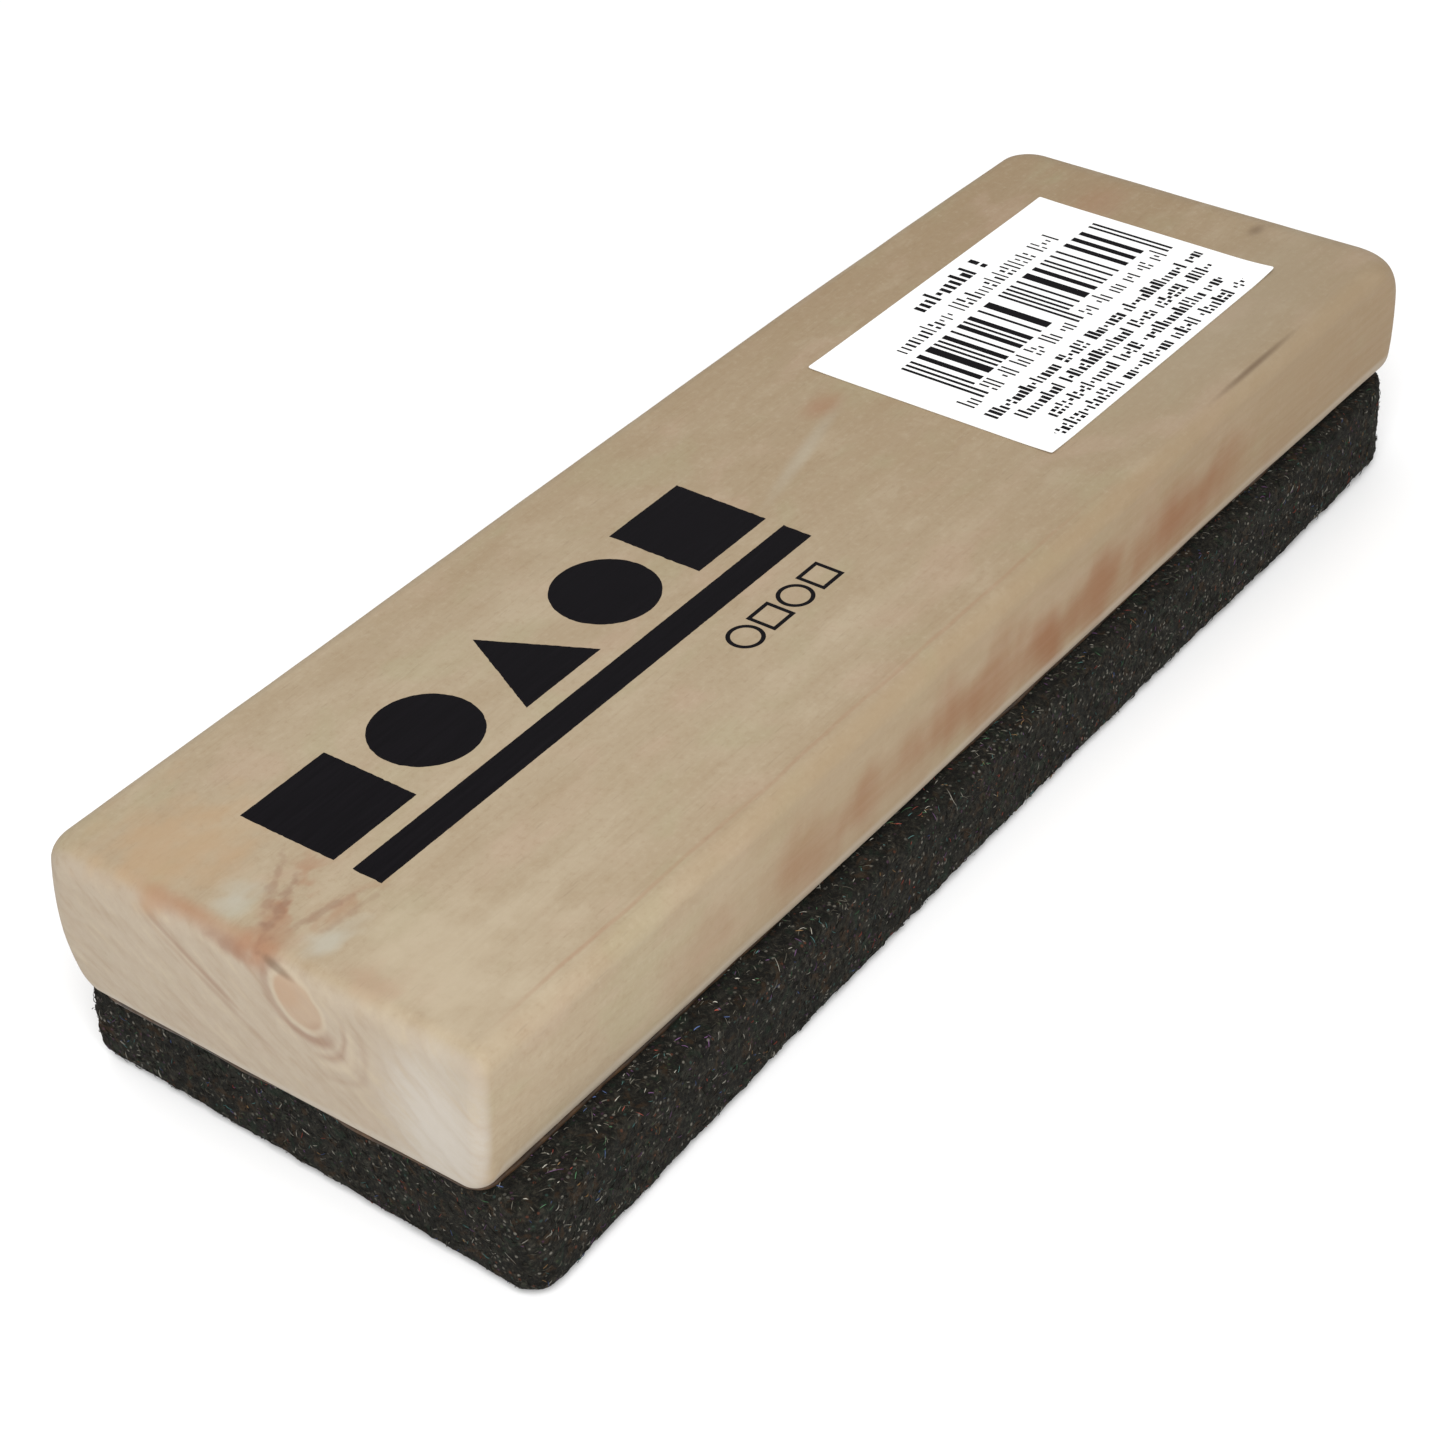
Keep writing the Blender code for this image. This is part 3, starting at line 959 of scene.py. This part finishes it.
class BarePine(Nodes):
    """The block's wood, with the noises and masks that several of its layers share."""

    def __init__(self):
        super().__init__("bare_pine")
        self.x, self.y, self.z = self.add("ShaderNodeSeparateXYZ", {0: self.mm}).outputs
        self.near_face = self.range(self.x, -70.9, -71.9)
        self.far_face = self.range(self.x, 70.4, 71.6)

        # Grain runs along X, so the noise that shapes it is drawn out that way.
        self.along = self.stretched(0.05)
        self.slow = self.stretched(0.16)
        self.shade = self.noise(self.slow, 0.09, 3, 0.55)
        self.fine = self.noise(self.along, 3.2, 3, 0.6)
        self.hair = self.noise(self.stretched(0.03), 7, 2, 0.5)
        self.pores = self.range(self.noise(self.stretched(0.10), 5, 1), 0.66, 0.80)
        self.lick = self.noise(self.stretched(0.7), 0.42, 2, 0.55)
        self.broken = self.centred(self.noise(self.mm, 0.22, 1), 1.4)
        streak = self.vector("MULTIPLY", self.turned(self.mm, 0.9, "X_AXIS"), (1, 1, 0.22))
        self.rays = self.noise(streak, 1.1, 3, 0.65)
        self.knot_reach = self.measure_knot()
        self.late = self.measure_rings()

    def measure_knot(self):
        """Distance from the knot at the near end's upper edge: a leaning oval, going a little way in."""
        above = self.minus(self.z, KNOT_Z)
        across = self.minus(self.minus(self.y, KNOT_Y), self.times(above, KNOT_LEAN))
        up = self.math("DIVIDE", above, 0.95)
        into = self.math("DIVIDE", self.minus(self.x, KNOT_X), KNOT_DEPTH)
        away = self.add("ShaderNodeCombineXYZ", {0: into, 1: across, 2: up}).outputs[0]
        uneven = self.times(self.noise(self.mm, 0.35, 2), 0.9)
        return self.minus(self.plus(self.vector("LENGTH", away), uneven), 0.45)

    def measure_rings(self):
        """Late wood of the growth rings, round a pith below the block, pushed aside by the knot."""
        across = self.minus(self.minus(self.y, PITH_Y), self.times(self.x, 0.03))
        up = self.minus(self.z, PITH_Z)
        reach = self.math("SQRT", self.plus(self.times(across, across), self.times(up, up)))
        reach = self.plus(reach, self.times(self.noise(self.slow, 0.11, 2), 5))
        reach = self.plus(reach, self.times(self.noise(self.slow, 0.45, 2), 0.8))
        push = self.math("EXPONENT", self.times(self.knot_reach, -0.28))
        reach = self.plus(reach, self.times(push, KNOT_PUSH))
        share = self.math("FRACT", self.math("DIVIDE", reach, RING_WIDTH))
        return self.ramp(share, [(0, 0.2), (0.10, 0), (0.60, 0.2), (0.90, 1), (1, 0.2)])

    def knot_line(self, radius, narrowness):
        """A line round the knot at this reach, fading to both sides."""
        off = self.math("ABSOLUTE", self.minus(self.knot_reach, radius))
        return self.math("SUBTRACT", 1, self.times(off, narrowness), clamp=True)


def colour_board(n):
    """Pale tan, browner towards the labelled end, with slow changes across the board."""
    tone = n.plus(n.x, n.times(n.noise(n.slow, 0.05, 2), 60))
    n.colour = n.mix(n.range(tone, -45, 95), NEAR_WOOD, FAR_WOOD)
    n.lay_between(PALE_WOOD, 0.45, n.shade, 0.52, 0.75)
    n.lay_between(BROWN_WOOD, 0.35, n.shade, 0.50, 0.28)
    mottle = n.noise(n.stretched(0.55), 0.30, 3, 0.6)
    n.lay_between(PALE_WOOD, 0.25, mottle, 0.50, 0.70)
    n.lay_between(BROWN_WOOD, 0.25, mottle, 0.50, 0.30)
    hue = n.noise(n.stretched(0.6), 0.17, 2, 0.5, 0.4)
    n.lay_between(PINK_WOOD, 0.35, hue, 0.54, 0.72)
    n.lay_between(GREEN_WOOD, 0.35, hue, 0.46, 0.28)
    strength = n.range(n.noise(n.slow, 0.07, 1), 0.35, 0.7, 0.2, 1)
    n.lay(RING_WOOD, 0.16, n.late, strength)


def colour_fibres(n):
    """Fine fibres, pores and grit."""
    n.lay_between(RING_WOOD, 0.16, n.fine, 0.48, 0.80)
    n.lay_between(PALE_WOOD, 0.14, n.hair, 0.52, 0.78)
    n.lay(PORE_WOOD, 0.12, n.pores)
    grit = n.noise(n.mm, 1.7, 3, 0.7)
    n.lay_between(PALE_WOOD, 0.22, grit, 0.52, 0.72)
    n.lay_between(RING_WOOD, 0.20, grit, 0.48, 0.28)


def colour_ends(n):
    """End grain. The near end is greyer and bleached in part, and the far end has clearer rings."""
    n.lay(END_WOOD, 0.66, n.near_face)
    n.lay_between(PALE_WOOD, 0.40, n.rays, 0.50, 0.72, n.near_face)
    n.lay_between(RING_WOOD, 0.20, n.rays, 0.50, 0.30, n.near_face)
    bleach = n.spot((-72, -17.5, 15.5), (6, 7.5, 11), 0.9, n.centred(n.rays, 0.9))
    n.lay(BLEACHED_AND_HIGHLIGHT, 0.85, bleach, n.near_face)
    n.lay(RING_WOOD, 0.10, n.late, n.near_face)
    for shift, share in ((0, 0.42), (1.15, 0.26)):
        centre = (-72.3, 6 - shift, 20.2 - 1.3 * shift)
        line = n.spot(centre, (2.5, 9, 0.42), 0.9, n.broken, 30, "X_AXIS")
        n.lay(KNOT_RED, share, line, n.near_face)
    n.lay(END_WOOD, 0.30, n.far_face)
    n.lay(RING_WOOD, 0.40, n.late, n.far_face)
    n.lay_between(PALE_WOOD, 0.30, n.rays, 0.50, 0.72, n.far_face)


def colour_side(n):
    """The visible side: browner and darker than the top as painted shade, with reddish smudges. The top is
    greyer by the label.
    """
    # Painted shade: the side face is darkened as if it got less light than the top.
    side = n.range(n.y, -20.6, -22)
    n.lay(BROWN_WOOD, 0.50, side, n.range(n.x, -60, -20))
    n.lay(RING_WOOD, 0.14, side, n.range(n.x, -10, 40))
    n.lay(GREY_WOOD, 0.50, n.spot((48, -15, TOP), (48, 13, 4)))
    blur = n.centred(n.noise(n.stretched(0.8, 0.5, 0.5), 0.20, 2, 0.5), 1.6)
    for middle, half, share in SMUDGES:
        n.lay(RED_WOOD, share, n.spot((middle, -22.5, 16), (half, 5, 5.6), 1, blur))
    n.lay(RED_WOOD, 0.44, n.spot((3, -23.5, 15.4), (58, 5, 6.4), 0.8, blur))


def colour_knot_flare(n):
    """The knot's flare over the near end of the top, with pale and orange patches beside it."""
    loose = n.centred(n.lick, 1.6)
    n.lay_spots(
        1,
        loose,
        (PALE_WOOD, 0.60, (-65, -13, TOP), (13, 11, 4), 0),
        (ORANGE_WOOD, 0.60, (-66, 13, TOP), (10, 9, 4), 0),
        (PALE_PATCH, 0.70, (-68.3, 5, TOP), (3.6, 2.5, 3), 20),
        (PALE_PATCH, 0.70, (-67.8, -4.3, TOP), (4, 2, 3), -8),
    )
    licks = n.range(n.lick, 0.40, 0.58)
    n.lay(FLARE_WOOD, 0.75, n.spot((-66, 1.6, 24.6), (10, 2.6, 3), 0.8, loose, 20), licks)
    n.lay(FLARE_WOOD, 0.50, n.spot((-65, -2.2, 24.6), (8, 1.8, 3), 0.8, loose, -12), licks)
    n.lay(FLARE_WOOD, 0.80, n.spot((-71.3, 0.3, 24), (3, 3.6, 2.6), 1, loose))
    n.lay(FLARE_WOOD, 0.65, n.spot((-71, 7.5, 24), (1.5, 9, 1.6), 1, n.broken))
    n.lay(FLARE_WOOD, 0.30, n.spot((-69.8, -9.5, 24.2), (2.2, 4.5, 2), 1, loose))
    kink = n.centred(n.noise(n.mm, 0.9, 2), 2.2)
    n.lay_spots(
        0.9,
        kink,
        (KNOT_RED, 0.55, (-67.2, 1.5, 24.4), (5.5, 0.75, 2.4), 20),
        (KNOT_RED, 0.38, (-66, 3.4, 24.4), (6, 0.60, 2.4), 30),
        (KNOT_RED, 0.40, (-65.8, -1.5, 24.4), (5.5, 0.65, 2.4), -12),
        (KNOT_RED, 0.26, (-64.5, -3.3, 24.4), (5, 0.55, 2.4), -4),
    )
    slight = n.times(kink, 0.4)
    stain = n.spot((-71.9, 2.6, 23.3), (1.6, 4.6, 0.9), 1, slight, 8, "X_AXIS")
    n.lay(KNOT_RED, 0.55, stain)


def colour_knot(n):
    """A pale outline round an orange heart, and broken darker rings outside it."""
    reach, face = n.knot_reach, n.near_face
    heart = n.range(n.spot((-72.4, -3, 21.8), (4, 2.6, 2)), 0, 0.7)
    n.lay_between(KNOT_HEART, 0.55, reach, 2.4, 1.9)
    n.lay_between(KNOT_HEART, 0.60, reach, 2.4, 1.9, heart)
    n.lay(KNOT_RED, 0.30, n.spot((-72.4, -6.4, 19.7), (4, 1.6, 1.2)))
    outline = n.times(n.range(reach, 1.9, 2.3), n.range(reach, 2.75, 2.35))
    n.lay(KNOT_RIM, 0.42, outline, n.range(n.x, -67.5, -70.5))
    dark_ring = n.times(n.range(reach, 2.5, 2.9), n.range(reach, 3.9, 3.1))
    n.lay(KNOT_RED, 0.62, dark_ring, n.range(n.z, 20.4, 18.4), face)
    n.lay(KNOT_RED, 0.34, dark_ring, n.range(n.y, -4, -1.8), face)
    zone = n.times(n.range(n.y, -5.2, -7.4), n.range(n.z, 22.6, 19.6))
    for radius, share in ((4.35, 0.42), (6.2, 0.16)):
        n.lay(KNOT_RED, share, n.knot_line(radius, 2.2), zone, face)
        n.lay(KNOT_RIM, share, n.knot_line(radius + 0.75, 2), zone, face)
    slight = n.times(n.broken, 0.4)
    mark = n.spot((-72, -2.2, 23.5), (2.5, 2.3, 0.36), 0.8, slight, 10, "X_AXIS")
    n.lay(PORE_WOOD, 0.55, mark)


def colour_edges(n):
    """Dark lines along the top's visible edge, a few stains on the top, and a painted highlight along the
    lower edge.
    """
    n.lay_spots(0.9, None, (PORE_WOOD, 0.75, (42.3, -21, 24), (10.5, 0.50, 1.3), -0.5))
    wander = n.centred(n.noise(n.stretched(1, 0, 0), 0.07), 1)
    off_line = n.math("ABSOLUTE", n.plus(n.plus(n.y, 20.3), wander))
    off_middle = n.math("ABSOLUTE", n.plus(n.x, 26))
    line = n.times(n.range(off_line, 0.32, 0.05), n.range(off_middle, 46, 30))
    patchy = n.range(n.shade, 0.30, 0.58, 0.35, 1)
    n.lay(FLARE_WOOD, 0.42, line, n.range(n.z, 20, 21.5), patchy)
    n.lay_spots(
        0.9,
        None,
        (PALE_PATCH, 0.30, (7, 5.4, TOP), (13, 1.2, 2), 14),
        (FLARE_WOOD, 0.50, (14.5, 8.6, TOP), (4, 2.2, 2), 0),
        (FLARE_WOOD, 0.30, (61.5, 8, TOP), (6, 4, 2), 0),
        (PORE_WOOD, 0.55, (65.2, -8.5, 23.9), (2, 1.1, 1.5), 0),
    )

    # The lower edge gets a painted highlight, standing in for light bounced up from the floor, higher up on
    # the visible long side than at the end.
    long_side = n.times(n.range(n.y, -17, -19.5), n.range(n.x, -71.5, -69.5))
    above_edge = n.minus(n.z, n.times(long_side, 1.2))
    n.lay_between(BLEACHED_AND_HIGHLIGHT, 0.38, above_edge, 11.3, 10.6, n.range(n.fine, 0.2, 0.6, 0.5, 1))


def wood_material():
    n = BarePine()
    colour_board(n)
    colour_fibres(n)
    colour_ends(n)
    colour_side(n)
    colour_knot_flare(n)
    colour_knot(n)
    colour_edges(n)
    rough = n.range(n.noise(n.along, 1.2, 2), 0.3, 0.7, 0.62, 0.78)
    grain = n.plus(n.times(n.fine, 0.6), n.times(n.hair, 0.4))
    grain = n.minus(grain, n.times(n.late, 0.12))
    grain = n.minus(grain, n.times(n.pores, 0.3))
    ends = n.math("MAXIMUM", n.near_face, n.far_face)
    grain = n.plus(grain, n.times(n.times(n.rays, ends), 0.8))
    n.surface(Base_Color=n.colour, Roughness=rough, Specular_IOR_Level=0.2)
    n.surface(Normal=n.bump(grain, 0.00006, 0.5))
    return n.material


# ---------------- other materials


def felt_material():
    n = Nodes("recycled_felt")
    mat = n.noise(n.mm, 2.4, 4, 0.75, 0.6)
    n.colour = n.ramp(mat, [(0.30, srgb(10, 9, 8)), (0.5, srgb(27, 26, 22)), (0.70, srgb(60, 57, 49))])
    n.lay_between(srgb(26, 25, 21), 0.35, n.noise(n.mm, 0.25, 3, 0.6), 0.40, 0.70)
    clump = n.noise(n.mm, 0.85, 2, 0.6, 0.4)
    n.lay_between(srgb(14, 13, 11), 0.55, clump, 0.48, 0.34)
    n.lay_between(srgb(58, 56, 49), 0.30, clump, 0.54, 0.68)
    hue = n.noise(n.mm, 0.75, 2, 0.5, 0.5)
    n.lay_between(srgb(66, 48, 30), 0.38, hue, 0.56, 0.70)
    n.lay_between(srgb(30, 46, 34), 0.38, hue, 0.44, 0.30)

    # Specks of recycled thread: some of the cells get one, each in its own colour.
    cells = n.add("ShaderNodeTexVoronoi", {"Vector": n.mm, "Scale": 2.2, "Randomness": 1})
    pick = n.add("ShaderNodeSeparateColor", {0: cells.outputs["Color"]})
    thread_colours = [
        (0, srgb(104, 102, 94)),
        (0.24, srgb(52, 74, 68)),
        (0.38, srgb(76, 50, 70)),
        (0.52, srgb(56, 66, 44)),
        (0.66, srgb(100, 58, 42)),
        (0.78, srgb(136, 132, 122)),
    ]
    tint = n.ramp(pick.outputs[1], thread_colours, "CONSTANT")
    chosen = n.range(pick.outputs[0], 0.62, 0.66)
    n.lay_between(tint, 0.55, cells.outputs["Distance"], 0.40, 0.18, chosen)
    n.surface(Base_Color=n.colour, Roughness=0.95, Specular_IOR_Level=0.05)
    n.surface(Sheen_Weight=0.02, Sheen_Roughness=0.6)
    n.surface(Normal=n.bump(mat, 0.0004, 0.9))
    return n.material


def strand_material():
    n = Nodes("felt_strands")
    own = n.add("ShaderNodeVertexColor", layer_name="strand").outputs["Color"]
    wear = n.noise(n.mm, 1.5, 2)
    colour = n.mix(n.range(wear, 0.3, 0.7, 0, 0.5), own, srgb(34, 32, 28))
    n.surface(Base_Color=colour, Roughness=0.9, Specular_IOR_Level=0.08)
    return n.material


def glue_material():
    n = Nodes("dried_glue_bead")
    blot = n.noise(n.mm, 0.6, 3)
    colour = n.ramp(blot, [(0.3, srgb(38, 27, 17)), (0.55, srgb(66, 46, 27)), (0.8, srgb(98, 70, 40))])
    rough = n.range(n.noise(n.mm, 1.4, 2), 0.3, 0.7, 0.35, 0.6)
    n.surface(Base_Color=colour, Roughness=rough, Normal=n.bump(blot, 0.0002, 0.6))
    return n.material


def paper_material():
    n = Nodes("label_stock")
    pulp = n.noise(n.mm, 5, 4, 0.65)
    colour = n.ramp(pulp, [(0.3, srgb(238, 238, 237)), (0.6, srgb(249, 249, 248))])
    soil = n.noise(n.mm, 0.12, 3)
    colour = n.mix(n.range(soil, 0.5, 0.8, 0, 0.10), colour, srgb(226, 220, 208))
    rough = n.range(pulp, 0.3, 0.7, 0.48, 0.6)
    n.surface(Base_Color=colour, Roughness=rough, Normal=n.bump(pulp, 0.00001, 0.4))
    return n.material


def adhesive_material():
    n = Nodes("label_gum")
    colour = n.ramp(n.noise(n.mm, 1.2, 2), [(0.3, srgb(210, 205, 190)), (0.7, srgb(228, 224, 212))])
    n.surface(Base_Color=colour, Roughness=0.4)
    return n.material


def ink_material(name, along_grain):
    """Black ink. On the wood it follows the grain, and on paper its specks are even."""
    n = Nodes(name)
    if along_grain:
        grain = n.noise(n.stretched(0.05), 3.2, 3, 0.6)
    else:
        grain = n.noise(n.mm, 5, 3, 0.6)
    colour = n.ramp(grain, [(0.35, srgb(10, 8, 11)), (0.75, srgb(19, 17, 20))])
    rough = n.range(grain, 0.3, 0.7, 0.5, 0.65)
    n.surface(Base_Color=colour, Roughness=rough, Specular_IOR_Level=0.04)
    n.surface(Normal=n.bump(grain, 0.00003, 0.4))
    return n.material


def dress(obj, material):
    obj.data.materials.clear()
    obj.data.materials.append(material)


# ---------------- assembly


def build_eraser():
    block = make_block()
    dress(block, wood_material())
    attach(block, "root")
    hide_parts("wooden_block")

    felt = make_felt()
    dress(felt, felt_material())
    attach(felt, "root")
    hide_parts("felt_pad")

    strands = strand_material()
    for fibres in make_fibres(felt):
        dress(fibres, strands)
        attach(fibres, "root")

    glue = make_glue()
    dress(glue, glue_material())
    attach(glue, "root")
    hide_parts("glue_film")

    label, surface = make_label()
    dress(label, paper_material())
    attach(label, "root")
    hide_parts("label_paper")

    label_ink = make_label_print(surface)
    dress(label_ink, ink_material("label_ink", False))
    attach(label_ink, "root")

    mark = make_mark()
    dress(mark, ink_material("mark_ink", True))
    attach(mark, "root")

    dress(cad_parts["label_adhesive"], adhesive_material())


# ---------------- studio

CAMERA_PLACE = Vector((-0.1953, -0.1410, 0.1818))
CAMERA_TARGET = Vector((-0.00948, 0.00336, 0.00479))
CAMERA_ROLL = math.radians(-2.48)
CAMERA_LENS = 81.1
FLOOR_REACH = 3.0
FLOOR_DROP = 0.2 * MM
SKY_STRENGTH = 0.80
KEY_PLACE = Vector((-0.28, -0.22, 0.39))
KEY_TARGET = Vector((-0.05, 0, 0.01))
KEY_SIZE = 0.35
KEY_POWER = 2.1


def aimed(name, data, place, target, roll=0.0):
    """A camera or a lamp at a place, looking at a target."""
    obj = bpy.data.objects.new(name, data)
    obj.location = place
    aim = (target - place).to_track_quat("-Z", "Y")
    obj.rotation_euler = (aim @ Quaternion((0, 0, 1), roll)).to_euler()
    bpy.context.scene.collection.objects.link(obj)
    return obj


def add_camera():
    data = bpy.data.cameras.new("view")
    data.lens = CAMERA_LENS
    data.sensor_width = 36.0
    data.clip_start = 0.01
    camera = aimed("view", data, CAMERA_PLACE, CAMERA_TARGET, CAMERA_ROLL)
    bpy.context.scene.camera = camera


def add_key_light():
    data = bpy.data.lights.new("key", "AREA")
    data.shape = "DISK"
    data.size = KEY_SIZE
    data.energy = KEY_POWER
    aimed("key", data, KEY_PLACE, KEY_TARGET)


def add_floor():
    corners = square(0.0, 0.0, FLOOR_REACH)
    points = [(x, y, -FLOOR_DROP) for x, y in corners]
    floor = mesh_object("floor", points, [(0, 1, 2, 3)], smooth=False)
    n = Nodes("floor_paint")
    tone = n.noise(n.mm, 0.01, 2.0)
    colour = n.ramp(tone, [(0.3, (0.95, 0.95, 0.95)), (0.7, (0.97, 0.97, 0.97))])
    n.surface(Base_Color=colour, Roughness=0.9, Specular_IOR_Level=0.1)
    dress(floor, n.material)


def add_sky():
    world = bpy.data.worlds.new("studio")
    world.use_nodes = True
    background = world.node_tree.nodes["Background"]
    background.inputs["Color"].default_value = (1.0, 1.0, 1.0, 1.0)
    background.inputs["Strength"].default_value = SKY_STRENGTH
    bpy.context.scene.world = world
    bpy.context.scene.view_settings.view_transform = "Standard"


build_eraser()
add_camera()
add_floor()
add_sky()
add_key_light()
